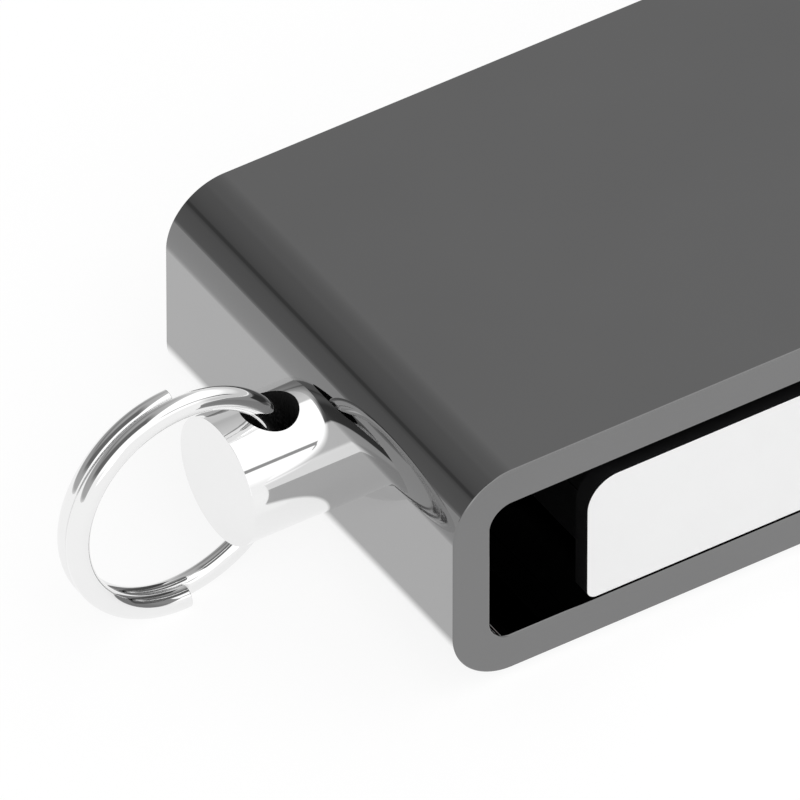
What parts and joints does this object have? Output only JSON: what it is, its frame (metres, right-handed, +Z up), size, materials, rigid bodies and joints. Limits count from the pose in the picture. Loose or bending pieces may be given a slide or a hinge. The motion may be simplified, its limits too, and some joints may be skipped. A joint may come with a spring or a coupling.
{
  "type": "usb flash drive",
  "caption": "Swivel USB flash drive: a U-shaped metal bracket with a lug and split ring, and a drive body with a type A plug that turns between its plates.",
  "frame": {"origin": "on the pivot axis, level with the flat underside of the bracket, at the centre of the lower pivot rivet's flush head", "axes": "+X towards the plug, with the drive open; +Z up, through the bracket's top plate; +Y to the left when looking along +X"},
  "size_m": [0.0686, 0.019, 0.0096],
  "materials": {
    "dark_chrome": "polished",
    "bright_chrome": "polished",
    "steel": "satin",
    "black_plastic": "satin",
    "white_plastic": "gloss",
    "plug_plastic": "satin",
    "nylon": "matte",
    "circuit_green": "satin",
    "chip_black": "matte",
    "passive_brown": "matte",
    "gold": "polished",
    "clear_plastic": "gloss"
  },
  "bodies": {
    "bracket": {"swivel_bracket": "dark_chrome", "ring_lug": "bright_chrome", "pivot_rivet_top": "dark_chrome", "pivot_rivet_bottom": "dark_chrome", "rivet_retainer_top": "steel", "rivet_retainer_bottom": "steel", "pivot_washer_top": "nylon", "pivot_washer_bottom": "nylon"},
    "drive": {"upper_shell": "black_plastic", "lower_shell": "black_plastic", "side_trim_left": "white_plastic", "side_trim_right": "white_plastic", "light_pipe": "clear_plastic", "plug_shell": "steel", "plug_insulator": "plug_plastic", "contact_1": "gold", "contact_2": "gold", "contact_3": "gold", "contact_4": "gold", "circuit_board": "circuit_green", "flash_memory": "chip_black", "controller_chip": "chip_black", "crystal": "steel", "voltage_regulator": "chip_black", "capacitor_1": "passive_brown", "capacitor_2": "passive_brown", "capacitor_3": "passive_brown", "resistor_1": "chip_black", "resistor_2": "chip_black", "activity_led": "clear_plastic"},
    "key_ring": {"split_ring": "bright_chrome"}
  },
  "joints": [
    {"name": "drive_swivel", "type": "hinge", "parent": "bracket", "child": "drive", "pos_m": [0, 0, 0.0045], "axis": [0, 0, 1], "continuous": true},
    {"name": "ring_swing", "type": "hinge", "parent": "bracket", "child": "key_ring", "pos_m": [-0.03186, 0, 0.0045], "axis": [0, 0, 1], "range_deg": [-90, 90]}
  ]
}
